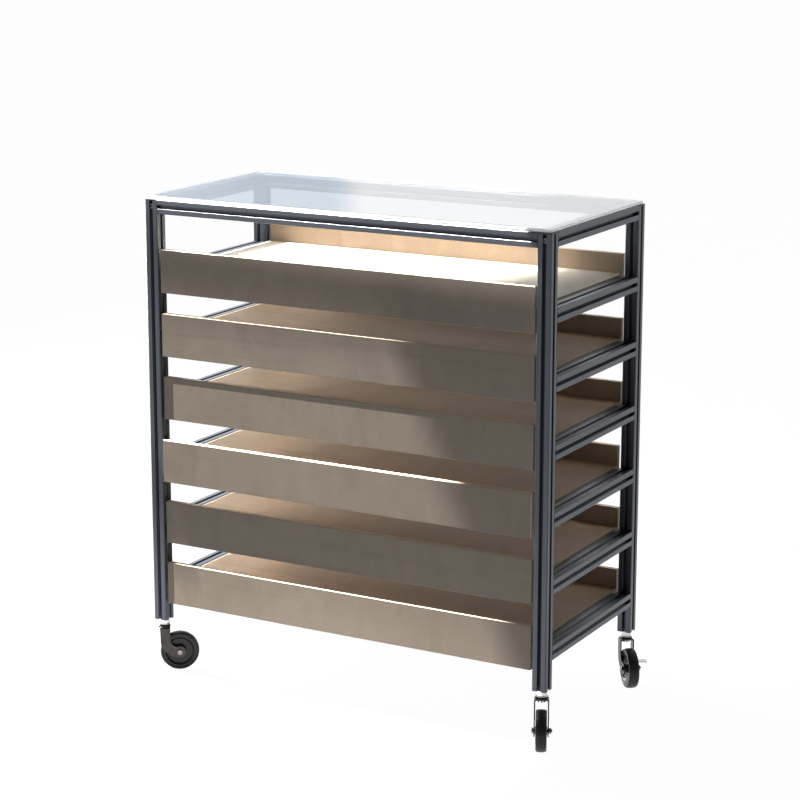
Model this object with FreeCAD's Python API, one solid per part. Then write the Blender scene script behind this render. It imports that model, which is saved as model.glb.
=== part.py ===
import FreeCAD, Part
import math
import os
from FreeCAD import Vector as V

# Mobile open-frame tray cabinet. Millimetres, +Z up.
# Origin: the middle of the frame's footprint, on the floor. The front is -Y.
os.makedirs("parts", exist_ok=True)

# ---- driving dimensions -------------------------------------------------
FRAME_W = 930.0          # over the posts' outer faces, along X
FRAME_D = 440.0          # over the posts' outer faces, along Y
POST_LEN = 910.0         # post with its end cap
CASTER_H = 115.0         # floor to the posts' lower ends
P = 30.0                 # slotted profile, square side
CORNER_R = 2.0           # profile's outer corners
SLOT_W = 8.0             # slot mouth
LIP_T = 2.2              # slot lip thickness
SLOT_CAV = 16.5          # slot cavity width
SLOT_DEPTH = 9.0         # slot depth from the face
BORE_R = 4.05            # centre bore of the profile
CAP_T = 2.5              # post end cap

PITCH = 135.0            # tray pitch
RAIL6_Z = 58.0           # lowest side rail's underside above the posts' lower ends
N_TRAYS = 6

BOARD_H = 91.0           # front and back boards
BOARD_T = 12.0
BOARD_BELOW = 18.0       # board's lower edge under the side rail's underside
FRONT_GAP = 5.0          # front board's end to the post's inner face
BODY_GAP = 9.0           # tray floor's edge to the side rail's inner face
FRONT_IN = 4.0           # front board's face behind the posts' faces, tray pushed in
BACK_INSET = 5.0         # back board's rear face inside the posts' back faces, tray pushed in
FLOOR_T = 9.0
FLOOR_UP = 2.0           # floor's upper face above the side rail's upper face
# how far each tray, counted from the top, stands out of its inmost place
TRAY_OUT = {1: 3.0, 2: 3.0, 3: 0.0, 4: 8.0, 5: 1.0, 6: 1.0}
EDGE_R = 0.9             # broken edges of the boards

GLASS_T = 5.0
GLASS_INSET = 2.0
PAD_T = 1.2
PAD_R = 6.0

CH_H = 28.0              # fixed runner channel, height
CH_W = 7.4               # fixed runner channel, depth into the gap
CH_T = 1.5
CH_LEN = 350.0

WHEEL_R = 42.0
WHEEL_W = 22.0
SWIVEL_OFFSET = 32.0
FORK_IN = 12.5           # half distance between the fork's legs
FORK_T = 2.5
AXLE_R = 3.0
SCREW_R = 4.0            # shank of the screws in the top rails' bores
FIT = 0.05               # radial clearance of the running fits
# trailing direction of each caster, degrees from +X, seen from above
TRAIL = {"front_left": 34.4, "front_right": -65.0, "back_right": -51.0, "back_left": 126.0}
BRAKED = ("back_left", "back_right")

HW = FRAME_W / 2
HD = FRAME_D / 2
Z0 = CASTER_H
ZT = Z0 + POST_LEN
H = P / 2


def save(shape, name):
    solids = shape.Solids
    for s in solids:
        if not s.isValid():
            raise RuntimeError("bad solid in " + name)
    if len(solids) == 1:
        solids[0].exportStep("parts/" + name + ".step")
    else:
        Part.makeCompound(solids).exportStep("parts/" + name + ".step")
    print("%-24s %2d solids %10.1f cm3" % (name, len(solids), sum(s.Volume for s in solids) / 1000))


def rounded_wire(pts):
    """Closed wire in the XY plane through (x, y, radius) corners, each rounded."""
    n = len(pts)
    seg = []
    for i in range(n):
        x, y, r = pts[i]
        p = V(x, y, 0)
        a = V(pts[i - 1][0], pts[i - 1][1], 0) - p
        b = V(pts[(i + 1) % n][0], pts[(i + 1) % n][1], 0) - p
        a.normalize()
        b.normalize()
        if r <= 0:
            seg.append((p, None, p))
            continue
        half = a.getAngle(b) / 2
        t = r / math.tan(half)
        bis = a + b
        bis.normalize()
        c = p + bis * (r / math.sin(half))
        seg.append((p + a * t, c - bis * r, p + b * t))
    edges = []
    for i in range(n):
        s, m, e = seg[i]
        if m is not None:
            edges.append(Part.Arc(s, m, e).toShape())
        nxt = seg[(i + 1) % n][0]
        if (nxt - e).Length > 1e-7:
            edges.append(Part.makeLine(e, nxt))
    return Part.Wire(edges)


def rounded_box(x0, y0, z0, x1, y1, z1, r, vertical_only=False):
    b = Part.makeBox(x1 - x0, y1 - y0, z1 - z0, V(x0, y0, z0))
    if r <= 0:
        return b
    edges = b.Edges
    if vertical_only:
        edges = [e for e in edges if abs(e.Vertexes[0].Z - e.Vertexes[1].Z) > 1e-6]
    return b.makeFillet(r, edges)


def profile_face():
    """Section of the slotted profile: four slots, lips with eased edges, a centre bore."""
    m = SLOT_W / 2
    c = SLOT_CAV / 2
    quarter = [
        (H, H, CORNER_R),
        (m, H, 0.7),
        (m, H - LIP_T, 0.0),
        (c, H - LIP_T, 0.0),
        (c, H - LIP_T - 2.0, 0.0),
        (m, H - SLOT_DEPTH, 0.0),
        (-m, H - SLOT_DEPTH, 0.0),
        (-c, H - LIP_T - 2.0, 0.0),
        (-c, H - LIP_T, 0.0),
        (-m, H - LIP_T, 0.0),
        (-m, H, 0.7),
    ]
    pts = []
    for k in range(4):
        ca, sa = [(1, 0), (0, 1), (-1, 0), (0, -1)][k]
        pts += [(x * ca - y * sa, x * sa + y * ca, r) for x, y, r in quarter]
    face = Part.Face(rounded_wire(pts))
    bore = Part.Face(Part.Wire(Part.makeCircle(BORE_R, V(0, 0, 0), V(0, 0, 1))))
    return face.cut(bore).Faces[0]


SECTION = profile_face()


def profile(length, axis, centre):
    """Slotted profile, its axis along X, Y or Z, starting at centre."""
    f = SECTION.copy()
    if axis == "X":
        f.rotate(V(0, 0, 0), V(0, 1, 0), 90)
    elif axis == "Y":
        f.rotate(V(0, 0, 0), V(1, 0, 0), -90)
    f.translate(V(*centre))
    return f.extrude({"X": V(length, 0, 0), "Y": V(0, length, 0), "Z": V(0, 0, length)}[axis])


def cyl(r, p, q):
    d = V(*q) - V(*p)
    return Part.makeCylinder(r, d.Length, V(*p), d)


def hexagon(af, z0, z1):
    """Hexagonal prism about the Z axis, its corners eased by a cone on both faces."""
    r = af / math.sqrt(3)
    pts = [V(r * math.cos(math.radians(60 * i)), r * math.sin(math.radians(60 * i)), z0) for i in range(6)]
    prism = Part.Face(Part.makePolygon(pts + [pts[0]])).extrude(V(0, 0, z1 - z0))
    c = (r - af / 2) * 0.577
    ease = revolve([(0, z0), (af / 2, z0), (r, z0 + c), (r, z1 - c), (af / 2, z1), (0, z1)])
    return prism.common(ease)


def revolve(rz):
    """Solid of revolution about Z from (radius, height) points."""
    pts = [V(r, 0, z) for r, z in rz]
    return Part.Face(Part.makePolygon(pts + [pts[0]])).revolve(V(0, 0, 0), V(0, 0, 1), 360)


# ---- frame --------------------------------------------------------------
CX = HW - H              # post centre lines
CY = HD - H
RAIL_ZC = ZT - H         # top rails' centre height


def rail_z(k):
    """Underside of the side rails that carry tray k, counted from the top."""
    return Z0 + RAIL6_Z + PITCH * (N_TRAYS - k)


cross_r = 4.05
for name, sx, sy in (("front_left", -1, -1), ("front_right", 1, -1), ("back_left", -1, 1), ("back_right", 1, 1)):
    post = profile(POST_LEN - CAP_T, "Z", (sx * CX, sy * CY, Z0))
    # cross hole for the screw that holds the left or right top rail
    post = post.cut(cyl(cross_r, (sx * CX, sy * (HD + 5), RAIL_ZC), (sx * CX, sy * (HD - P - 5), RAIL_ZC)))
    save(post, "post_" + name)

save(profile(FRAME_W - 2 * P, "X", (-HW + P, -CY, RAIL_ZC)), "top_rail_front")
save(profile(FRAME_W - 2 * P, "X", (-HW + P, CY, RAIL_ZC)), "top_rail_back")
save(profile(FRAME_D - 2 * P, "Y", (-CX, -HD + P, RAIL_ZC)), "top_rail_left")
save(profile(FRAME_D - 2 * P, "Y", (CX, -HD + P, RAIL_ZC)), "top_rail_right")

for name, s in (("left", -1), ("right", 1)):
    rails = [profile(FRAME_D - 2 * P, "Y", (s * CX, -HD + P, rail_z(k) + H)) for k in range(1, N_TRAYS + 1)]
    save(Part.makeCompound(rails), "side_rails_" + name)

caps = []
for sx in (-1, 1):
    for sy in (-1, 1):
        x, y = sx * CX, sy * CY
        top = rounded_box(x - H, y - H, ZT - CAP_T, x + H, y + H, ZT, CORNER_R, True)
        rim = [e for e in top.Edges if abs(e.BoundBox.ZMin - ZT) < 1e-6 and abs(e.BoundBox.ZMax - ZT) < 1e-6]
        top = top.makeFillet(0.6, rim)
        plug = cyl(BORE_R - 0.15, (x, y, ZT - CAP_T - 7), (x, y, ZT - CAP_T + 0.5))
        caps.append(top.fuse(plug).removeSplitter())
save(Part.makeCompound(caps), "post_caps")

# glass top on four clear pads
gz = ZT + PAD_T
glass = rounded_box(-HW + GLASS_INSET, -HD + GLASS_INSET, gz, HW - GLASS_INSET, HD - GLASS_INSET, gz + GLASS_T, 5.0, True)
rim = [e for e in glass.Edges if abs(e.BoundBox.ZMin - e.BoundBox.ZMax) < 1e-6]
glass = glass.makeChamfer(0.5, rim)
save(glass, "glass_top")
pads = []
for sx in (-1, 1):
    for sy in (-1, 1):
        pad = cyl(PAD_R, (sx * CX, sy * CY, ZT), (sx * CX, sy * CY, gz))
        pads.append(pad)
save(Part.makeCompound(pads), "glass_pads")

# screws in the posts' outer slots at the top rails' height
screws = []
HEAD_R, HEAD_T, HEAD_IN = 6.6, 3.4, 2.4
for sx in (-1, 1):
    for sy in (-1, 1):
        # long screw along Y, through the post into the left or right top rail's bore
        head = revolve([(0, 0), (HEAD_R, 0), (HEAD_R, 1.4), (HEAD_R - 1.6, HEAD_T), (0, HEAD_T)])
        head = head.cut(hexagon(5.0, HEAD_T - 2.2, HEAD_T + 1))
        body = head.fuse(cyl(SCREW_R, (0, 0, -42.0), (0, 0, 0.2))).removeSplitter()
        body.rotate(V(0, 0, 0), V(1, 0, 0), 90 if sy < 0 else -90)
        body.translate(V(sx * CX, sy * (HD - HEAD_IN - HEAD_T), RAIL_ZC))
        screws.append(body)
        # short lock screw along X in the side slot
        head = revolve([(0, 0), (HEAD_R, 0), (HEAD_R, 1.4), (HEAD_R - 1.6, HEAD_T), (0, HEAD_T)])
        head = head.cut(hexagon(5.0, HEAD_T - 2.2, HEAD_T + 1))
        body = head.fuse(cyl(3.0, (0, 0, -3.1), (0, 0, 0.2))).removeSplitter()
        body.rotate(V(0, 0, 0), V(0, 1, 0), 90 * sx)
        body.translate(V(sx * (HW - HEAD_IN - HEAD_T), sy * CY, RAIL_ZC))
        screws.append(body)
save(Part.makeCompound(screws), "top_rail_screws")

# ---- runners, fixed side ------------------------------------------------
SCREW_Y = (-140.0, 140.0)
SLOT_CLEAR = 0.15


def channel(side, k):
    """Fixed C channel on the inner face of a side rail, its mouth towards the tray."""
    zc = rail_z(k) + H
    hh = CH_H / 2
    pts = [(0, -hh, 1.0), (0, hh, 1.0), (CH_W, hh, 1.0), (CH_W, hh - 4.5, 0), (CH_W - CH_T, hh - 4.5, 0), (CH_W - CH_T, hh - CH_T, 0),
           (CH_T, hh - CH_T, 0), (CH_T, -hh + CH_T, 0), (CH_W - CH_T, -hh + CH_T, 0), (CH_W - CH_T, -hh + 4.5, 0), (CH_W, -hh + 4.5, 0), (CH_W, -hh, 1.0)]
    f = Part.Face(rounded_wire(pts))            # u along x, height along y
    f.rotate(V(0, 0, 0), V(1, 0, 0), 90)        # now u along x, height along z, section in XZ
    s = f.extrude(V(0, CH_LEN, 0))
    s.translate(V(0, -CH_LEN / 2, 0))
    for y in SCREW_Y:
        s = s.cut(cyl(2.6, (-1, y, 0), (CH_T + 1, y, 0)))
    if side > 0:
        s = s.mirror(V(0, 0, 0), V(1, 0, 0))
    s.translate(V(side * (HW - P), 0, zc))
    return s


def inward(shape, side, k):
    """Place a shape modelled with +x pointing inward from a side rail's inner face."""
    if side > 0:
        shape = shape.mirror(V(0, 0, 0), V(1, 0, 0))
    shape.translate(V(side * (HW - P), 0, rail_z(k) + H))
    return shape


channels = [channel(s, k) for s in (-1, 1) for k in range(1, N_TRAYS + 1)]
save(Part.makeCompound(channels), "runner_channels")

bolts, nuts = [], []
for s in (-1, 1):
    for k in range(1, N_TRAYS + 1):
        for y in SCREW_Y:
            head = revolve([(0, 0), (4.6, 0), (4.6, 1.0), (3.6, 2.4), (0, 2.4)])
            head = head.cut(hexagon(3.0, 1.0, 3.0))
            b = head.fuse(cyl(2.5, (0, 0, -9.0), (0, 0, 0.2))).removeSplitter()
            b.rotate(V(0, 0, 0), V(0, 1, 0), 90)
            b.translate(V(CH_T, y, 0))
            bolts.append(inward(b, s, k))
            # slot nut behind the lips
            nut = Part.makeBox(3.6, 12.0, 15.0, V(-LIP_T - SLOT_CLEAR - 3.6, y - 6.0, -7.5))
            wedge = [e for e in nut.Edges if abs(e.BoundBox.XMin - e.BoundBox.XMax) < 1e-6
                     and abs(e.BoundBox.XMin + LIP_T + SLOT_CLEAR + 3.6) < 1e-6 and e.BoundBox.YLength > 5]
            nut = nut.makeChamfer(1.9, wedge)
            nut = nut.cut(cyl(2.55, (-20, y, 0), (5, y, 0)))
            nuts.append(inward(nut, s, k))
save(Part.makeCompound(bolts), "runner_screws")

# anchors: a hammer head in the post's slot and a shank in the rail's end bore
def anchor(p, d):
    """Anchor at the rail end p, d pointing from the rail into the post."""
    sh = cyl(3.9, (0, 0, -20.0), (0, 0, LIP_T + 0.3))
    hd = Part.makeBox(14.0, 14.0, 3.2, V(-7.0, -7.0, LIP_T + 0.2))
    far = [e for e in hd.Edges if abs(e.BoundBox.ZMin - (LIP_T + 3.4)) < 1e-6 and abs(e.BoundBox.ZMax - (LIP_T + 3.4)) < 1e-6]
    hd = hd.makeChamfer(1.4, far)
    a = sh.fuse(hd).removeSplitter()
    rot = FreeCAD.Rotation(V(0, 0, 1), V(*d))
    a.Placement = FreeCAD.Placement(V(*p), rot)
    return a


hidden = []
for sx in (-1, 1):
    for sy in (-1, 1):
        for k in range(1, N_TRAYS + 1):
            hidden.append(anchor((sx * CX, sy * (HD - P), rail_z(k) + H), (0, sy, 0)))
        hidden.append(anchor((sx * (HW - P), sy * CY, RAIL_ZC), (sx, 0, 0)))
save(Part.makeCompound(hidden + nuts), "slot_fasteners")

# ---- trays --------------------------------------------------------------
front_y = -HD + FRONT_IN
back_y = HD - BACK_INSET
FH = HW - P - FRONT_GAP
BH = HW - P - BODY_GAP
for k in range(1, N_TRAYS + 1):
    dy = -TRAY_OUT.get(k, 0.0)
    rz = rail_z(k)
    bz = rz - BOARD_BELOW
    fz = rz + P + FLOOR_UP
    n = "tray_%d_" % k
    front = rounded_box(-FH, front_y + dy, bz, FH, front_y + BOARD_T + dy, bz + BOARD_H, EDGE_R)
    save(front, n + "front")
    back = rounded_box(-BH, back_y - BOARD_T + dy, bz, BH, back_y + dy, bz + BOARD_H, EDGE_R)
    save(back, n + "back")
    floor = Part.makeBox(2 * BH, back_y - front_y - 2 * BOARD_T, FLOOR_T, V(-BH, front_y + BOARD_T + dy, fz - FLOOR_T))
    long_edges = [e for e in floor.Edges if e.BoundBox.YLength > 100]
    floor = floor.makeFillet(0.6, long_edges)
    save(floor, n + "floor")
    # moving runner: a channel inside the fixed one, a web up to the floor and a foot under it
    v_floor = fz - FLOOR_T - (rz + H)
    sect = [(2.1, -12.2), (5.5, -12.2), (5.5, -9.0), (8.9, -9.0), (8.9, v_floor - 1.5), (30.0, v_floor - 1.5), (30.0, v_floor),
            (7.7, v_floor), (7.7, -7.7), (5.5, -7.7), (5.5, 12.2), (2.1, 12.2), (2.1, 11.0), (4.4, 11.0), (4.4, -11.0), (2.1, -11.0)]
    w = Part.makePolygon([V(x, 0, y) for x, y in sect + [sect[0]]])
    run = Part.Face(w).extrude(V(0, CH_LEN, 0))
    run.translate(V(0, -CH_LEN / 2 + dy, 0))
    both = [inward(run.copy(), s, k) for s in (-1, 1)]
    save(Part.makeCompound(both), n + "runners")

# ---- casters ------------------------------------------------------------
# local frame: swivel axis on Z at the origin, x trailing, y along the axle


def place(shape, name):
    sx = -1 if name.endswith("left") else 1
    sy = -1 if name.startswith("front") else 1
    shape = shape.copy()
    shape.rotate(V(0, 0, 0), V(0, 0, 1), TRAIL[name])
    shape.translate(V(sx * CX, sy * CY, 0))
    return shape


CROWN_Z = 96.0
CROWN_T = 3.0
CUP_TOP = 102.6
HUB_X, HUB_Z = SWIVEL_OFFSET, WHEEL_R
BOSS_R = 12.5


def stem():
    """Threaded stem in the post's bore, hexagon collar, flange and the stud that the fork swivels on."""
    s = cyl(4.0, (0, 0, CASTER_H - 2), (0, 0, CASTER_H + 28.0))
    s = s.fuse(hexagon(20.0, 104.6, CASTER_H))
    s = s.fuse(revolve([(0, 102.9), (11.6, 102.9), (12.2, 103.5), (12.2, 104.2), (11.2, 104.8), (0, 104.8)]))
    s = s.fuse(cyl(5.0, (0, 0, CROWN_Z - 1.0), (0, 0, 103.0)))
    s = s.fuse(revolve([(0, 89.8), (5.5, 89.8), (8.2, 91.3), (8.2, CROWN_Z - 0.3), (0, CROWN_Z - 0.3)]))
    return s.removeSplitter()


def fork():
    """Pressed fork: an inverted U cut to a hooked side outline, with a bearing cup on its crown."""
    wo = FORK_IN + FORK_T
    zt = CROWN_Z + CROWN_T
    outer = rounded_wire([(-wo, 20, 0), (wo, 20, 0), (wo, zt, 5.0), (-wo, zt, 5.0)])
    inner = rounded_wire([(-FORK_IN, 10, 0), (FORK_IN, 10, 0), (FORK_IN, CROWN_Z, 3.0), (-FORK_IN, CROWN_Z, 3.0)])
    u = Part.Face(outer).cut(Part.Face(inner)).Faces[0]
    # section (x, y) -> (y, z), extruded along x
    m = FreeCAD.Matrix(0, 0, 1, 0, 1, 0, 0, 0, 0, 1, 0, 0, 0, 0, 0, 1)
    u = u.transformGeometry(m)
    u = u.extrude(V(120, 0, 0))
    u.translate(V(-50, 0, 0))
    # side outline in the XZ plane
    def pt(x, z):
        return V(x, 0, z)
    c = pt(HUB_X, HUB_Z)
    a0 = math.radians(-101)
    a1 = math.radians(118)
    low = pt(HUB_X + BOSS_R * math.cos(a0), HUB_Z + BOSS_R * math.sin(a0))
    high = pt(HUB_X + BOSS_R * math.cos(a1), HUB_Z + BOSS_R * math.sin(a1))
    # the line from the heel that meets the boss smoothly
    heel = pt(11.0, 36.5)
    edges = [
        Part.makeLine(pt(-9.8, 101), pt(-8.8, 68)),
        Part.Arc(pt(-8.8, 68), pt(-3.4, 49.0), heel).toShape(),
        Part.Arc(heel, pt(19.8, 31.2), low).toShape(),
        Part.Arc(low, pt(HUB_X + BOSS_R * math.cos(math.radians(10)), HUB_Z + BOSS_R * math.sin(math.radians(10))), high).toShape(),
        Part.Arc(high, pt(16.8, 58.0), pt(12.2, 69)).toShape(),
        Part.makeLine(pt(12.2, 69), pt(11.8, 101)),
        Part.makeLine(pt(11.8, 101), pt(-9.8, 101)),
    ]
    side = Part.Face(Part.Wire(Part.__sortEdges__(edges))).extrude(V(0, 60, 0))
    side.translate(V(0, -30, 0))
    body = u.common(side)
    # round crown plate and bearing cup
    crown = cyl(12.8, (0, 0, CROWN_Z), (0, 0, CROWN_Z + CROWN_T))
    cup = revolve([(0, CROWN_Z + 1), (13.2, CROWN_Z + 1), (13.2, CROWN_Z + 3.6), (11.2, CUP_TOP - 0.8), (10.4, CUP_TOP), (0, CUP_TOP)])
    body = body.fuse(crown).fuse(cup)
    body = body.cut(cyl(5.0 + FIT, (0, 0, 60), (0, 0, 120)))
    body = body.cut(cyl(AXLE_R + FIT, (HUB_X, -40, HUB_Z), (HUB_X, 40, HUB_Z)))
    return body.removeSplitter()


def axle(braked):
    """Axle bolt with its hexagon head on one side and nut on the other."""
    wo = FORK_IN + FORK_T
    nut0 = wo + (2.5 if braked else 0.1)
    a = cyl(AXLE_R, (0, 0, -wo - 0.2), (0, 0, nut0 + 6.6))
    head = hexagon(10.0, -wo - 0.1 - 4.0, -wo - 0.1)
    nut = hexagon(10.0, nut0, nut0 + 5.0)
    a = a.fuse(head).fuse(nut).removeSplitter()
    a.rotate(V(0, 0, 0), V(1, 0, 0), -90)       # +z to +y
    a.translate(V(HUB_X, 0, HUB_Z))
    return a


def wheel_revolve(prof):
    """Revolve (radius, across) points about the wheel's axle."""
    pts = [V(r, 0, w) for r, w in prof]
    s = Part.Face(Part.makePolygon(pts + [pts[0]])).revolve(V(0, 0, 0), V(0, 0, 1), 360)
    s.rotate(V(0, 0, 0), V(1, 0, 0), -90)
    s.translate(V(HUB_X, 0, HUB_Z))
    return s


def hub():
    """Moulded core: boss, dished web and rim."""
    b = AXLE_R + 0.08
    half = [(b, 12.1), (7.6, 12.1), (8.4, 11.3), (9.4, 7.2), (12.0, 5.6), (27.2, 6.4), (30.4, 9.2), (31.4, 9.8), (34.4, 9.8), (34.4, 0.0)]
    prof = half + [(r, -w) for r, w in reversed(half[:-1])]
    return wheel_revolve(prof)


def tyre():
    """Solid tyre with a rounded tread, bonded on the core."""
    w = WHEEL_W / 2
    prof = [(34.4, 9.8), (35.4, 10.5), (37.4, w)]
    n = 10
    for i in range(n + 1):
        t = math.radians(90 - 180.0 * i / n)
        # tread: flattened round from one shoulder to the other
        prof.append((38.2 + (WHEEL_R - 38.2) * math.cos(t) ** 0.8 if abs(math.cos(t)) > 1e-9 else 38.2, w * math.sin(t) * 1.0))
    prof += [(37.4, -w), (35.4, -10.5), (34.4, -9.8)]
    clean = []
    for p in prof:
        if not clean or math.hypot(p[0] - clean[-1][0], p[1] - clean[-1][1]) > 1e-4:
            clean.append(p)
    pts = [V(r, 0, q) for r, q in clean]
    # the tread is one smooth curve, the rest straight runs
    i0 = next(i for i, p in enumerate(clean) if abs(p[0] - 38.2) < 1e-6 and p[1] > 0)
    i1 = next(i for i, p in enumerate(clean) if abs(p[0] - 38.2) < 1e-6 and p[1] < 0)
    edges = [Part.makeLine(pts[i], pts[i + 1]) for i in range(0, i0)]
    edges += [Part.Arc(pts[i], pts[i + 1], pts[i + 2]).toShape() for i in range(i0, i1, 2)]
    edges += [Part.makeLine(pts[i], pts[i + 1]) for i in range(i1, len(pts) - 1)]
    edges.append(Part.makeLine(pts[-1], pts[0]))
    s = Part.Face(Part.Wire(edges)).revolve(V(0, 0, 0), V(0, 0, 1), 360)
    s.rotate(V(0, 0, 0), V(1, 0, 0), -90)
    s.translate(V(HUB_X, 0, HUB_Z))
    return s


def brake_lever():
    """Lever on the axle's outer end: a ring on the axle, an arm and a turned-out thumb tab."""
    y0 = FORK_IN + FORK_T + 0.1
    y1 = y0 + 2.2
    ring = cyl(9.0, (HUB_X, y0, HUB_Z), (HUB_X, y1, HUB_Z))
    arm = Part.makeBox(15.0, y1 - y0, 16.0, V(HUB_X - 7.5, y0, HUB_Z))
    tab = Part.makeBox(15.0, 21.0, 3.0, V(HUB_X - 7.5, y0, HUB_Z + 13.0))
    tip = [e for e in tab.Edges if e.BoundBox.ZLength > 1 and e.BoundBox.YMin > y0 + 10]
    tab = tab.makeFillet(4.0, tip)
    # the tab's end turns down a little
    lip = Part.makeBox(9.0, 2.2, 5.0, V(HUB_X - 4.5, y0 + 18.8, HUB_Z + 9.5))
    tab = tab.fuse(lip)
    lev = ring.fuse(arm).fuse(tab).removeSplitter()
    return lev.cut(cyl(AXLE_R + FIT, (HUB_X, 0, HUB_Z), (HUB_X, 60, HUB_Z)))


st = stem()
fk_ = fork()
hb = hub()
ty = tyre()
lv = brake_lever()
save(Part.makeCompound([place(st, n) for n in TRAIL]), "caster_stems")
for n in TRAIL:
    save(place(fk_, n), "caster_fork_" + n)
    save(place(axle(n in BRAKED), n), "caster_axle_" + n)
    save(place(hb, n), "wheel_hub_" + n)
    save(place(ty, n), "wheel_tyre_" + n)
    if n in BRAKED:
        save(place(lv, n), "brake_lever_" + n)
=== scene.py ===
import math

import bpy
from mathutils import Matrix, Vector

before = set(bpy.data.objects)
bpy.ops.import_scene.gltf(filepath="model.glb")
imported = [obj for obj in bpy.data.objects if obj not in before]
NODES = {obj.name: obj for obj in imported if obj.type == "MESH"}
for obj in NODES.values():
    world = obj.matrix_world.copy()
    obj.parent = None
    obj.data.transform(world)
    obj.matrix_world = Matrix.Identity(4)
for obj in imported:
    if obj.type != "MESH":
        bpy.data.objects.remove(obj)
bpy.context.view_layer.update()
scene = bpy.context.scene


# ---------------------------------------------------------------- node helpers
class Tree:
    """Short calls for building a node tree. A value that is a socket is linked, any other is set."""

    def __init__(self, tree):
        self.t = tree
        self.t.nodes.clear()

    def put(self, socket, value):
        if isinstance(value, bpy.types.NodeSocket):
            self.t.links.new(value, socket)
        else:
            socket.default_value = value

    def node(self, kind, props=None, **inputs):
        n = self.t.nodes.new(kind)
        for k, v in (props or {}).items():
            setattr(n, k, v)
        for k, v in inputs.items():
            self.put(n.inputs[k.replace("_", " ")], v)
        return n

    def math(self, op, a, b=None, c=None, clamp=False):
        n = self.t.nodes.new("ShaderNodeMath")
        n.operation = op
        n.use_clamp = clamp
        for i, v in enumerate((a, b, c)):
            if v is not None:
                self.put(n.inputs[i], v)
        return n.outputs[0]

    def vec(self, op, a, b=None, scale=None):
        n = self.t.nodes.new("ShaderNodeVectorMath")
        n.operation = op
        self.put(n.inputs[0], a)
        if b is not None:
            self.put(n.inputs[1], b)
        if scale is not None:
            self.put(n.inputs["Scale"], scale)
        return n.outputs[1] if op in ("LENGTH", "DOT_PRODUCT", "DISTANCE") else n.outputs[0]

    def noise(self, vector, scale=1.0, detail=2.0, rough=0.5, distortion=0.0, colour=False):
        n = self.node("ShaderNodeTexNoise", Vector=vector, Scale=scale, Detail=detail, Roughness=rough, Distortion=distortion)
        return n.outputs["Color" if colour else "Fac"]

    def map(self, value, a, b, lo=0.0, hi=1.0, smooth=False):
        n = self.t.nodes.new("ShaderNodeMapRange")
        n.interpolation_type = "SMOOTHSTEP" if smooth else "LINEAR"
        n.clamp = True
        for k, v in (("Value", value), ("From Min", a), ("From Max", b), ("To Min", lo), ("To Max", hi)):
            self.put(n.inputs[k], v)
        return n.outputs["Result"]

    def mix(self, fac, a, b, blend="MIX"):
        n = self.t.nodes.new("ShaderNodeMix")
        n.data_type = "RGBA"
        n.blend_type = blend
        self.put(n.inputs["Factor"], fac)
        self.put(n.inputs[6], a if isinstance(a, bpy.types.NodeSocket) else (*a, 1.0)[:4])
        self.put(n.inputs[7], b if isinstance(b, bpy.types.NodeSocket) else (*b, 1.0)[:4])
        return n.outputs[2]

    def scaled(self, vector, s):
        return self.vec("MULTIPLY", vector, s)

    def xyz(self, vector):
        return self.node("ShaderNodeSeparateXYZ", Vector=vector).outputs

    def ramp(self, fac, stops):
        n = self.t.nodes.new("ShaderNodeValToRGB")
        e = n.color_ramp.elements
        while len(e) > len(stops):
            e.remove(e[-1])
        while len(e) < len(stops):
            e.new(1.0)
        for i, (p, c) in enumerate(stops):
            e[i].position = p
            e[i].color = (*c, 1.0)[:4]
        self.put(n.inputs[0], fac)
        return n.outputs[0]

    def bump(self, height, strength, distance, normal=None):
        n = self.node("ShaderNodeBump", Height=height, Strength=strength, Distance=distance)
        if normal is not None:
            self.put(n.inputs["Normal"], normal)
        return n.outputs[0]


def material(name):
    m = bpy.data.materials.new(name)
    m.use_nodes = True
    t = Tree(m.node_tree)
    out = t.node("ShaderNodeOutputMaterial")
    p = t.node("ShaderNodeBsdfPrincipled")
    t.t.links.new(p.outputs[0], out.inputs["Surface"])
    co = t.node("ShaderNodeTexCoord")
    return m, t, p, co.outputs["Object"], co.outputs["Generated"]


def normal_of(t):
    g = t.node("ShaderNodeNewGeometry")
    return t.xyz(g.outputs["Normal"])


# ---------------------------------------------------------------- materials
def anodised(name, axis):
    """Dark blue-grey anodised aluminium with extrusion lines along the profile."""
    m, t, p, obj, _ = material(name)
    fine = {"X": (3.0, 1500.0, 1500.0), "Y": (1500.0, 3.0, 1500.0), "Z": (1500.0, 1500.0, 3.0)}[axis]
    wide = {"X": (1.1, 260.0, 260.0), "Y": (260.0, 1.1, 260.0), "Z": (260.0, 260.0, 1.1)}[axis]
    streak = t.noise(t.scaled(obj, fine), detail=2.0, rough=0.6)
    band = t.noise(t.scaled(obj, wide), detail=3.0, rough=0.55)
    cloud = t.noise(obj, scale=9.0, detail=3.0)
    grit = t.noise(obj, scale=2600.0, detail=1.0)
    lines = t.math("ADD", t.math("MULTIPLY", streak, 0.45), t.math("MULTIPLY", band, 0.55))
    base = t.ramp(lines, [(0.30, (0.051, 0.057, 0.071)), (0.52, (0.063, 0.070, 0.086)), (0.72, (0.077, 0.085, 0.102))])
    base = t.mix(t.map(cloud, 0.35, 0.7, 0.0, 0.35), base, (0.054, 0.060, 0.074))
    t.put(p.inputs["Base Color"], base)
    p.inputs["Metallic"].default_value = 0.72
    rough = t.math("ADD", t.map(lines, 0.3, 0.75, 0.30, 0.44), t.map(cloud, 0.3, 0.75, -0.03, 0.05))
    t.put(p.inputs["Roughness"], rough)
    b = t.bump(lines, 0.30, 0.00006)
    t.put(p.inputs["Normal"], t.bump(grit, 0.10, 0.00002, b))
    return m


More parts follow.
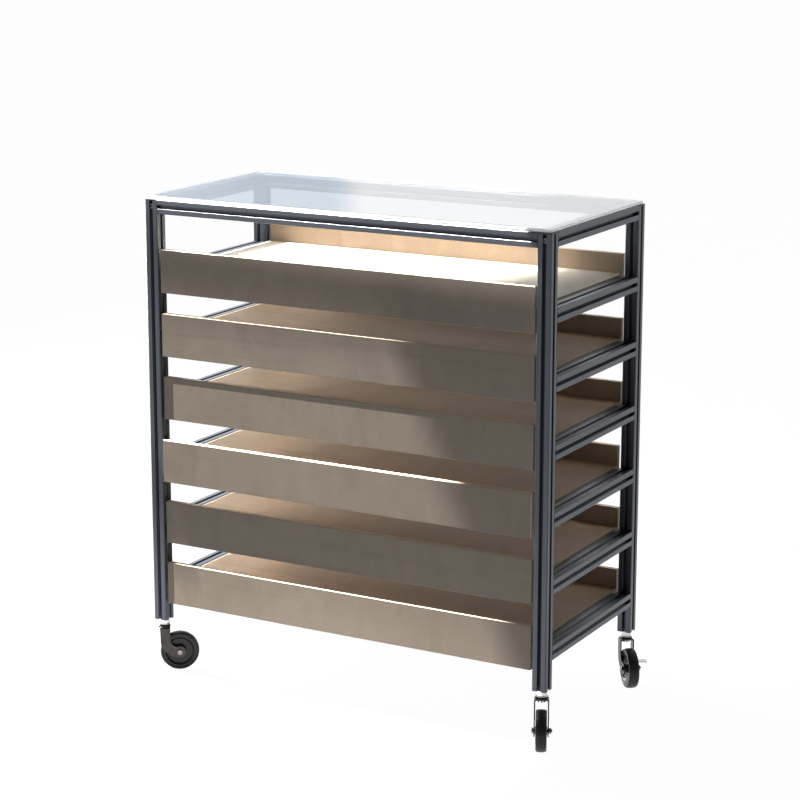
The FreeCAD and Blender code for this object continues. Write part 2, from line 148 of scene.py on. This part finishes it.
def plastic(name, dark, light, rough, grain):
    """Moulded black plastic with a fine spark-eroded grain."""
    m, t, p, obj, _ = material(name)
    cloud = t.noise(obj, scale=35.0, detail=3.0)
    fine = t.noise(obj, scale=grain, detail=2.0)
    t.put(p.inputs["Base Color"], t.mix(t.map(cloud, 0.35, 0.7), dark, light))
    t.put(p.inputs["Roughness"], t.math("ADD", t.map(cloud, 0.3, 0.7, rough - 0.05, rough + 0.06), t.map(fine, 0.3, 0.7, -0.03, 0.04)))
    t.put(p.inputs["Normal"], t.bump(fine, 0.18, 0.00008))
    p.inputs["Specular IOR Level"].default_value = 0.30
    return m


def rubber(name):
    """Dark solid tyre: a slight bloom, scuffs and dust on the tread."""
    m, t, p, obj, _ = material(name)
    cloud = t.noise(obj, scale=60.0, detail=4.0, rough=0.6)
    fine = t.noise(obj, scale=1400.0, detail=2.0)
    dust = t.map(t.noise(obj, scale=180.0, detail=3.0), 0.52, 0.72, 0.0, 0.55)
    base = t.mix(t.map(cloud, 0.35, 0.7), (0.0055, 0.0055, 0.0055), (0.011, 0.0105, 0.0105))
    t.put(p.inputs["Base Color"], t.mix(t.math("MULTIPLY", dust, 0.22), base, (0.06, 0.057, 0.052)))
    t.put(p.inputs["Roughness"], t.map(cloud, 0.3, 0.7, 0.34, 0.52))
    t.put(p.inputs["Normal"], t.bump(t.math("ADD", fine, t.math("MULTIPLY", cloud, 0.6)), 0.20, 0.0001))
    p.inputs["Specular IOR Level"].default_value = 0.30
    return m


def steel(name, dark, light, lo, hi, metallic=1.0, pits=0.12):
    """Plated steel: faint clouding, drawn lines and small handling marks."""
    m, t, p, obj, _ = material(name)
    cloud = t.noise(obj, scale=70.0, detail=4.0, rough=0.6)
    lines = t.noise(t.scaled(obj, (420.0, 420.0, 2600.0)), detail=2.0)
    spots = t.noise(obj, scale=900.0, detail=2.0)
    fac = t.math("ADD", t.math("MULTIPLY", cloud, 0.7), t.math("MULTIPLY", lines, 0.3))
    t.put(p.inputs["Base Color"], t.mix(t.map(fac, 0.35, 0.66), dark, light))
    p.inputs["Metallic"].default_value = metallic
    t.put(p.inputs["Roughness"], t.math("ADD", t.map(cloud, 0.3, 0.7, lo, hi), t.map(spots, 0.55, 0.75, 0.0, 0.10)))
    t.put(p.inputs["Normal"], t.bump(t.math("ADD", lines, t.math("MULTIPLY", spots, 0.7)), pits, 0.00006))
    return m


def clear_glass(name):
    """Clear float glass with bright ground edges and a few smears. It lets lamps through."""
    m, t, p, obj, _ = material(name)
    nz = t.math("ABSOLUTE", normal_of(t)[2])
    edge = t.map(nz, 0.35, 0.95, 1.0, 0.0)
    smear = t.noise(t.scaled(obj, (3.0, 5.0, 1.0)), detail=5.0, rough=0.6, distortion=0.8)
    t.put(p.inputs["Base Color"], t.mix(edge, (0.56, 0.575, 0.575), (0.84, 0.92, 0.92)))
    t.put(p.inputs["Roughness"], t.math("ADD", t.map(smear, 0.55, 0.8, 0.0, 0.02), t.math("MULTIPLY", edge, 0.35)))
    t.put(p.inputs["Transmission Weight"], t.map(edge, 0.0, 1.0, 1.0, 0.35))
    p.inputs["IOR"].default_value = 1.5
    out = next(n for n in m.node_tree.nodes if n.type == "OUTPUT_MATERIAL")
    thru = t.node("ShaderNodeBsdfTransparent")
    both = t.node("ShaderNodeMixShader", Fac=t.node("ShaderNodeLightPath").outputs["Is Shadow Ray"])
    t.t.links.new(p.outputs[0], both.inputs[1])
    t.t.links.new(thru.outputs[0], both.inputs[2])
    t.t.links.new(both.outputs[0], out.inputs["Surface"])
    return m


def clear_pad(name):
    m, t, p, obj, _ = material(name)
    cloud = t.noise(obj, scale=500.0, detail=2.0)
    t.put(p.inputs["Base Color"], t.mix(cloud, (0.86, 0.88, 0.88), (0.95, 0.96, 0.96)))
    t.put(p.inputs["Roughness"], t.map(cloud, 0.3, 0.7, 0.22, 0.36))
    p.inputs["Transmission Weight"].default_value = 0.8
    p.inputs["IOR"].default_value = 1.42
    return m


def plywood(name, face, seed, tones, edge_tones, layers=9):
    """Birch plywood. face is the axis of the board's faces; the grain runs along X, and the plies show on the edges."""
    m, t, p, obj, gen = material(name)
    here = t.vec("ADD", obj, (seed * 1.37, seed * 0.83, seed * 2.11))
    warp = t.noise(t.scaled(here, (2.6, 5.0, 5.0)), detail=2.0, colour=True)
    bent = t.vec("ADD", here, t.vec("MULTIPLY", t.vec("SUBTRACT", warp, (0.5, 0.5, 0.5)), (0.0, 0.05, 0.05)))
    figure = t.noise(t.scaled(bent, (1.3, 20.0, 20.0)), detail=5.0, rough=0.58, distortion=0.35)
    rings = t.noise(t.scaled(bent, (2.4, 75.0, 75.0)), detail=3.0, rough=0.6)
    fibre = t.noise(t.scaled(bent, (22.0, 1300.0, 1300.0)), detail=2.0, rough=0.6)
    pores = t.noise(t.scaled(bent, (75.0, 1500.0, 1500.0)), detail=1.0)
    shimmer = t.noise(t.scaled(here, (13.0, 7.0, 7.0)), detail=4.0, rough=0.62, distortion=1.4)
    blotch = t.noise(t.scaled(here, (2.2, 3.2, 3.2)), detail=2.0)
    fac = t.math("ADD", t.math("MULTIPLY", figure, 0.62), t.math("MULTIPLY", rings, 0.38))
    dark, mid, light = tones
    col = t.ramp(fac, [(0.24, dark), (0.45, mid), (0.58, mid), (0.80, light)])
    col = t.mix(1.0, col, t.mix(t.map(fibre, 0.3, 0.7), (0.94, 0.935, 0.925), (1.035, 1.035, 1.035)), "MULTIPLY")
    col = t.mix(1.0, col, t.mix(t.map(shimmer, 0.32, 0.68), (0.90, 0.90, 0.895), (1.10, 1.095, 1.09)), "MULTIPLY")
    col = t.mix(1.0, col, t.mix(t.map(blotch, 0.35, 0.65), (0.94, 0.935, 0.92), (1.06, 1.062, 1.065)), "MULTIPLY")
    tick = t.map(pores, 0.64, 0.74, 0.0, 0.42)
    col = t.mix(tick, col, tuple(0.5 * c for c in dark))
    # pin knots: few, small, drawn out along the grain
    cell = t.node("ShaderNodeTexVoronoi", {"feature": "F1"}, Vector=t.scaled(here, (4.2, 11.0, 11.0)), Scale=1.0, Randomness=1.0)
    some = t.map(t.xyz(cell.outputs["Color"])[0], 0.80, 0.82)
    knot = t.math("MULTIPLY", t.map(cell.outputs["Distance"], 0.010, 0.045, 1.0, 0.0, True), some)
    halo = t.math("MULTIPLY", t.map(cell.outputs["Distance"], 0.02, 0.20, 0.30, 0.0, True), some)
    col = t.mix(halo, col, tuple(0.72 * c for c in dark))
    col = t.mix(t.math("MULTIPLY", knot, 0.8), col, tuple(0.28 * c for c in dark))
    # plies on the edges
    i = {"X": 0, "Y": 1, "Z": 2}[face]
    n = normal_of(t)
    edge = t.map(t.math("ABSOLUTE", n[i]), 0.55, 0.80, 1.0, 0.0)
    across = t.math("ADD", t.xyz(gen)[i], t.map(t.noise(t.scaled(here, (30.0, 30.0, 30.0)), detail=2.0), 0.3, 0.7, -0.012, 0.012))
    step = t.math("FRACT", t.math("MULTIPLY", across, layers / 2.0))
    tri = t.math("ABSOLUTE", t.math("SUBTRACT", step, 0.5))          # 0 in one ply's middle, 0.5 in the next one's
    ply = t.map(tri, 0.22, 0.28, 0.0, 1.0)
    glue = t.map(t.math("ABSOLUTE", t.math("SUBTRACT", tri, 0.25)), 0.0, 0.035, 1.0, 0.0)
    endgrain = t.noise(t.scaled(here, (900.0, 900.0, 900.0)), detail=2.0)
    e = t.mix(ply, edge_tones[0], edge_tones[1])
    e = t.mix(1.0, e, t.mix(t.map(endgrain, 0.3, 0.7), (0.84, 0.82, 0.80), (1.08, 1.08, 1.08)), "MULTIPLY")
    e = t.mix(t.math("MULTIPLY", glue, 0.5), e, tuple(0.35 * c for c in edge_tones[1]))
    col = t.mix(edge, col, e)
    t.put(p.inputs["Base Color"], col)
    rough = t.math("ADD", t.map(fibre, 0.3, 0.7, 0.50, 0.60), t.map(shimmer, 0.3, 0.7, -0.05, 0.05))
    t.put(p.inputs["Roughness"], t.math("ADD", rough, t.math("MULTIPLY", edge, 0.15), clamp=True))
    p.inputs["Specular IOR Level"].default_value = 0.42
    h = t.math("ADD", t.math("MULTIPLY", fibre, 0.5), t.math("MULTIPLY", tick, -0.9))
    h = t.math("ADD", h, t.math("MULTIPLY", ply, t.math("MULTIPLY", edge, 0.8)))
    t.put(p.inputs["Normal"], t.bump(h, 0.35, 0.00012))
    return m


FRONT = ((0.089, 0.071, 0.056), (0.110, 0.0902, 0.0726), (0.130, 0.108, 0.088))
INNER = ((0.310, 0.215, 0.136), (0.395, 0.285, 0.190), (0.475, 0.357, 0.248))
TOP_FLOOR = ((0.235, 0.212, 0.183), (0.290, 0.265, 0.232), (0.340, 0.315, 0.280))            # the top tray's floor is greyer
BACK = ((0.185, 0.131, 0.085), (0.235, 0.172, 0.117), (0.280, 0.215, 0.152))
EDGE = ((0.68, 0.58, 0.46), (0.44, 0.34, 0.24))

MAT = {
    "profile_x": anodised("anodised_x", "X"),
    "profile_y": anodised("anodised_y", "Y"),
    "profile_z": anodised("anodised_z", "Z"),
    "cap": plastic("cap_plastic", (0.020, 0.021, 0.024), (0.032, 0.033, 0.036), 0.42, 1500.0),
    "glass": clear_glass("clear_glass"),
    "pad": clear_pad("clear_pad"),
    "bright": steel("bright_steel", (0.52, 0.53, 0.55), (0.72, 0.72, 0.73), 0.10, 0.22),
    "zinc": steel("zinc_steel", (0.40, 0.41, 0.43), (0.58, 0.59, 0.60), 0.24, 0.38),
    "runner": steel("black_runner", (0.020, 0.020, 0.021), (0.034, 0.034, 0.036), 0.34, 0.50, 0.25, 0.2),
    "fork": steel("fork_steel", (0.036, 0.032, 0.032), (0.060, 0.054, 0.054), 0.24, 0.38),
    "axle": steel("axle_steel", (0.16, 0.155, 0.155), (0.26, 0.25, 0.25), 0.22, 0.36),
    "screw": steel("rail_screw_steel", (0.075, 0.078, 0.085), (0.125, 0.128, 0.138), 0.20, 0.32),
    "core": plastic("wheel_core_plastic", (0.0055, 0.0050, 0.0050), (0.0105, 0.0095, 0.0095), 0.34, 1100.0),
    "tyre": rubber("tyre_rubber"),
}


def dress(node, mat):
    o = NODES[node]
    o.data.materials.clear()
    o.data.materials.append(mat)


for n in NODES:
    if n.startswith("post_caps"):
        dress(n, MAT["cap"])
    elif n.startswith("post_"):
        dress(n, MAT["profile_z"])
    elif n in ("top_rail_front", "top_rail_back"):
        dress(n, MAT["profile_x"])
    elif n in ("top_rail_left", "top_rail_right", "side_rails_left", "side_rails_right"):
        dress(n, MAT["profile_y"])
    elif n == "glass_top":
        dress(n, MAT["glass"])
    elif n == "glass_pads":
        dress(n, MAT["pad"])
    elif n == "top_rail_screws":
        dress(n, MAT["screw"])
    elif n in ("caster_stems", "runner_screws"):
        dress(n, MAT["bright"])
    elif n == "slot_fasteners":
        dress(n, MAT["zinc"])
    elif n.startswith("caster_axle"):
        dress(n, MAT["axle"])
    elif n == "runner_channels" or n.endswith("_runners"):
        dress(n, MAT["runner"])
    elif n.startswith("caster_fork"):
        dress(n, MAT["fork"])
    elif n.startswith("brake_lever"):
        dress(n, MAT["zinc"])
    elif n.startswith("wheel_hub"):
        dress(n, MAT["core"])
    elif n.startswith("wheel_tyre"):
        dress(n, MAT["tyre"])

BOARD_TONE_AND_PAINTED_LIGHT = {1: 0.95, 2: 0.98, 3: 1.02, 4: 1.02, 5: 0.95, 6: 1.10}       # small random tone per board, plus painted light: fronts 1 and 5 darkened as painted shade, front 6 lightened as painted key light
for k in range(1, 7):
    # each front's colours are scaled by its board factor, which includes the painted shade on fronts 1 and 5 and the
    # painted light on front 6
    tones = tuple(tuple(BOARD_TONE_AND_PAINTED_LIGHT[k] * c for c in tone) for tone in FRONT)
    dress("tray_%d_front" % k, plywood("ply_front_%d" % k, "Y", k * 1.0, tones, EDGE))
    dress("tray_%d_back" % k, plywood("ply_back_%d" % k, "Y", k * 1.0 + 10, BACK, EDGE))
    dress("tray_%d_floor" % k, plywood("ply_floor_%d" % k, "Z", k * 1.0 + 20, TOP_FLOOR if k == 1 else INNER, EDGE, 7))

# ---------------------------------------------------------------- floor
mesh = bpy.data.meshes.new("studio_floor")
R = 80.0
ring = 96
mesh.from_pydata([(R * math.cos(2 * math.pi * i / ring), R * math.sin(2 * math.pi * i / ring), 0.0) for i in range(ring)], [], [list(range(ring))])
floor = bpy.data.objects.new("studio_floor", mesh)
scene.collection.objects.link(floor)
fm, ft, fp, fo, _ = material("pale_floor")
fcloud = ft.noise(fo, scale=1.5, detail=3.0)
ft.put(fp.inputs["Base Color"], ft.mix(fcloud, (0.030, 0.030, 0.030), (0.034, 0.034, 0.034)))
fp.inputs["Roughness"].default_value = 0.95
fp.inputs["Specular IOR Level"].default_value = 0.0
ft.put(fp.inputs["Emission Color"], ft.mix(fcloud, (1.0, 1.0, 1.0), (0.995, 0.997, 1.0)))
fp.inputs["Emission Strength"].default_value = 0.97
floor.data.materials.append(fm)

# ---------------------------------------------------------------- light
world = bpy.data.worlds.new("studio_world")
scene.world = world
world.use_nodes = True
w = Tree(world.node_tree)
wout = w.node("ShaderNodeOutputWorld")
bg = w.node("ShaderNodeBackground")
w.t.links.new(bg.outputs[0], wout.inputs["Surface"])
way = w.node("ShaderNodeTexCoord").outputs["Generated"]
wx, wy, wz = w.xyz(way)
tilt = w.math("DEGREES", w.math("ARCSINE", wz))
turn = w.math("DEGREES", w.math("ARCTAN2", w.math("MULTIPLY", wx, -1.0), wy))      # 0 behind, 90 left, -90 right


def near(angle, centre, half, soft):
    """1 within half degrees of centre, falling to 0 over the next soft degrees."""
    off = w.math("ABSOLUTE", w.math("WRAP", w.math("SUBTRACT", angle, centre), 180.0, -180.0))
    return w.map(off, half, half + soft, 1.0, 0.0, True)


def both(a, b):
    return w.math("MULTIPLY", a, b)


def above(angle, lo, hi):
    return w.map(angle, lo, hi, 0.0, 1.0, True)


total = None
for name, mask, tint, strength in (
    ("w_base", 1.0, (0.96, 0.98, 1.03), 0.1),
    ("w_left", both(near(turn, 95.0, 35.0, 25.0), near(tilt, 20.0, 35.0, 20.0)), (1.0, 0.99, 0.97), 0.25),
    ("w_back_high", both(near(turn, 20.0, 45.0, 30.0), near(tilt, 42.0, 22.0, 12.0)), (1.0, 1.0, 1.0), 0.8),
    ("w_back_low", both(near(turn, -10.0, 40.0, 1.0), near(tilt, 4.0, 12.0, 6.0)), (0.99, 1.0, 1.02), 1.23),
    ("w_back_blue", both(near(turn, 47.0, 16.0, 1.0), near(tilt, 7.0, 8.0, 6.0)), (0.76, 0.88, 1.0), 0.98),
    ("w_back_side", both(near(turn, 52.0, 17.0, 3.0), near(tilt, 7.0, 8.0, 6.0)), (1.1, 1.0, 0.95), 0.14),
    ("w_top", above(tilt, 55.0, 75.0), (1.0, 1.0, 1.0), 0.12),
    ("w_front_left", both(near(turn, 150.0, 18.0, 15.0), near(tilt, 20.0, 30.0, 20.0)), (1.0, 1.0, 1.0), 0.1),
    ("w_front_right", both(near(turn, -150.0, 30.0, 20.0), near(tilt, 20.0, 30.0, 20.0)), (1.0, 1.0, 1.0), 0.0),
    ("w_right", both(near(turn, -85.0, 25.0, 20.0), near(tilt, 20.0, 30.0, 20.0)), (1.0, 1.0, 1.0), 0.1),
):
    part = w.node("ShaderNodeVectorMath", {"operation": "SCALE", "name": name})
    part.inputs[0].default_value = tint
    w.put(part.inputs["Scale"], w.node("ShaderNodeMath", {"operation": "MULTIPLY", "name": name + "_strength"}).outputs[0])
    gain = w.t.nodes[name + "_strength"]
    w.put(gain.inputs[0], mask)
    gain.inputs[1].default_value = strength
    total = part.outputs[0] if total is None else w.vec("ADD", total, part.outputs[0])
w.put(bg.inputs["Color"], w.mix(w.node("ShaderNodeLightPath").outputs["Is Camera Ray"], total, (0.97, 0.97, 0.97)))    # a plain backdrop behind the floor
bg.inputs["Strength"].default_value = 1.0


def lamp(name, kind, place, at, power, colour=(1, 1, 1), **more):
    d = bpy.data.lights.new(name, kind)
    d.energy = power
    d.color = colour
    for k, v in more.items():
        setattr(d, k, v)
    o = bpy.data.objects.new(name, d)
    scene.collection.objects.link(o)
    o.location = place
    o.rotation_mode = "QUATERNION"
    o.rotation_quaternion = (Vector(at) - Vector(place)).to_track_quat("-Z", "Y")
    return o


# a hard key from high on the left, nearly in the plane of the fronts. Its doors cut it off towards the right, and
# their bar keeps it off the uppermost front.
REACH = 40.0
SLOPE = 0.058
beam = Vector((0.371, 0.928 * SLOPE, -0.928)).normalized()
aim = Vector((-0.20, 0.0, 0.60))
key = lamp("key_spot", "SPOT", aim - beam * REACH, aim, 1.6e6, (1.0, 0.965, 0.915), spot_size=math.radians(3.6), spot_blend=0.1, shadow_soft_size=0.004)
key.data.cycles.use_multiple_importance_sampling = False
side = Vector((0.928, 0.0, 0.371))                      # square to the beam, to the right
back = side.cross(beam).normalized() * -1.0             # square to the beam, to the back
if back.y < 0:
    back = back * -1.0
turned = key.rotation_quaternion.inverted()
key.data.use_nodes = True
kt = Tree(key.data.node_tree)
ray = kt.node("ShaderNodeTexCoord").outputs["Normal"]
along = kt.math("MAXIMUM", kt.vec("DOT_PRODUCT", ray, turned @ beam), 0.01)


def offset(axis):
    """How far the ray lies from the frame's origin along this axis, in metres."""
    across = kt.vec("DOT_PRODUCT", ray, turned @ axis)
    return kt.math("ADD", kt.math("MULTIPLY", kt.math("DIVIDE", across, along), REACH), aim.dot(axis))


to_side, to_back = offset(side), offset(back)
depth = kt.math("ADD", to_back, kt.math("MULTIPLY", to_side, 0.02155))                     # the same all along a front's face
limit = kt.math("ADD", 0.412, kt.math("MULTIPLY", kt.math("MAXIMUM", kt.math("ADD", depth, 0.165), 0.0), 0.45))
door = kt.map(kt.math("SUBTRACT", to_side, limit), -0.046, 0.046, 1.0, 0.0, True)
bar = kt.math("MULTIPLY", kt.map(depth, -0.1775, -0.1705, 0.0, 1.0, True), kt.map(depth, -0.1655, -0.1640, 1.0, 0.0, True))
wedge = kt.math("MULTIPLY", kt.map(to_side, -0.242, -0.232, 1.0, 0.0, True), kt.math("MULTIPLY", kt.map(depth, -0.2015, -0.2005, 0.0, 1.0, True), kt.map(depth, -0.1900, -0.1890, 1.0, 0.0, True)))
door = kt.math("MULTIPLY", door, kt.math("SUBTRACT", 1.0, kt.math("MULTIPLY", kt.math("MAXIMUM", bar, wedge), 0.93)))
door = kt.math("MULTIPLY", door, kt.map(depth, -0.160, -0.154, 1.0, 0.36, True))          # a scrim behind the bar
door = kt.math("MULTIPLY", door, kt.map(depth, -0.2035, -0.2000, 1.45, 1.0, True))        # brightest furthest to the front
strip = kt.math("MULTIPLY", kt.map(depth, -0.1650, -0.1640, 0.0, 1.0, True), kt.map(depth, -0.1605, -0.1590, 1.0, 0.0, True))
strip = kt.math("MULTIPLY", strip, kt.math("MULTIPLY", kt.map(to_side, -0.032, -0.026, 0.0, 1.0, True), kt.map(to_side, 0.760, 0.770, 1.0, 0.0, True)))
door = kt.math("MAXIMUM", door, kt.math("MULTIPLY", strip, 2.7))                          # the top rail's front catches more
glow = kt.node("ShaderNodeEmission", Strength=door)
kt.t.links.new(glow.outputs[0], kt.node("ShaderNodeOutputLight").inputs["Surface"])

# soft light from the open left side, from behind the fronts' plane
left = lamp("soft_left", "AREA", (-3.0, 0.42, 1.10), (0.0, 0.42, 0.80), 330.0, (1.0, 0.985, 0.955), shape="RECTANGLE", size=1.2, size_y=1.9)
left.data.cycles.use_multiple_importance_sampling = True
lamp("soft_front_left", "AREA", (-1.9, -1.9, 1.1), (-0.1, -0.2, 0.5), 3.0, (1.0, 0.985, 0.96), shape="RECTANGLE", size=1.1, size_y=1.0)

# ---------------------------------------------------------------- camera
cam_data = bpy.data.cameras.new("camera")
cam = bpy.data.objects.new("camera", cam_data)
scene.collection.objects.link(cam)
scene.camera = cam
cam_data.sensor_width = 36.0
cam_data.lens = 104.2845
cam_data.shift_y = -0.05
cam_data.clip_start, cam_data.clip_end = 0.05, 400.0
cam.location = (2.31113, -4.10502, 1.72026)
cam.rotation_euler = (math.radians(90.0 - 12.3202), 0.0, math.radians(29.2097))

scene.view_settings.view_transform = "Standard"
scene.view_settings.look = "None"
scene.view_settings.exposure = 0.0
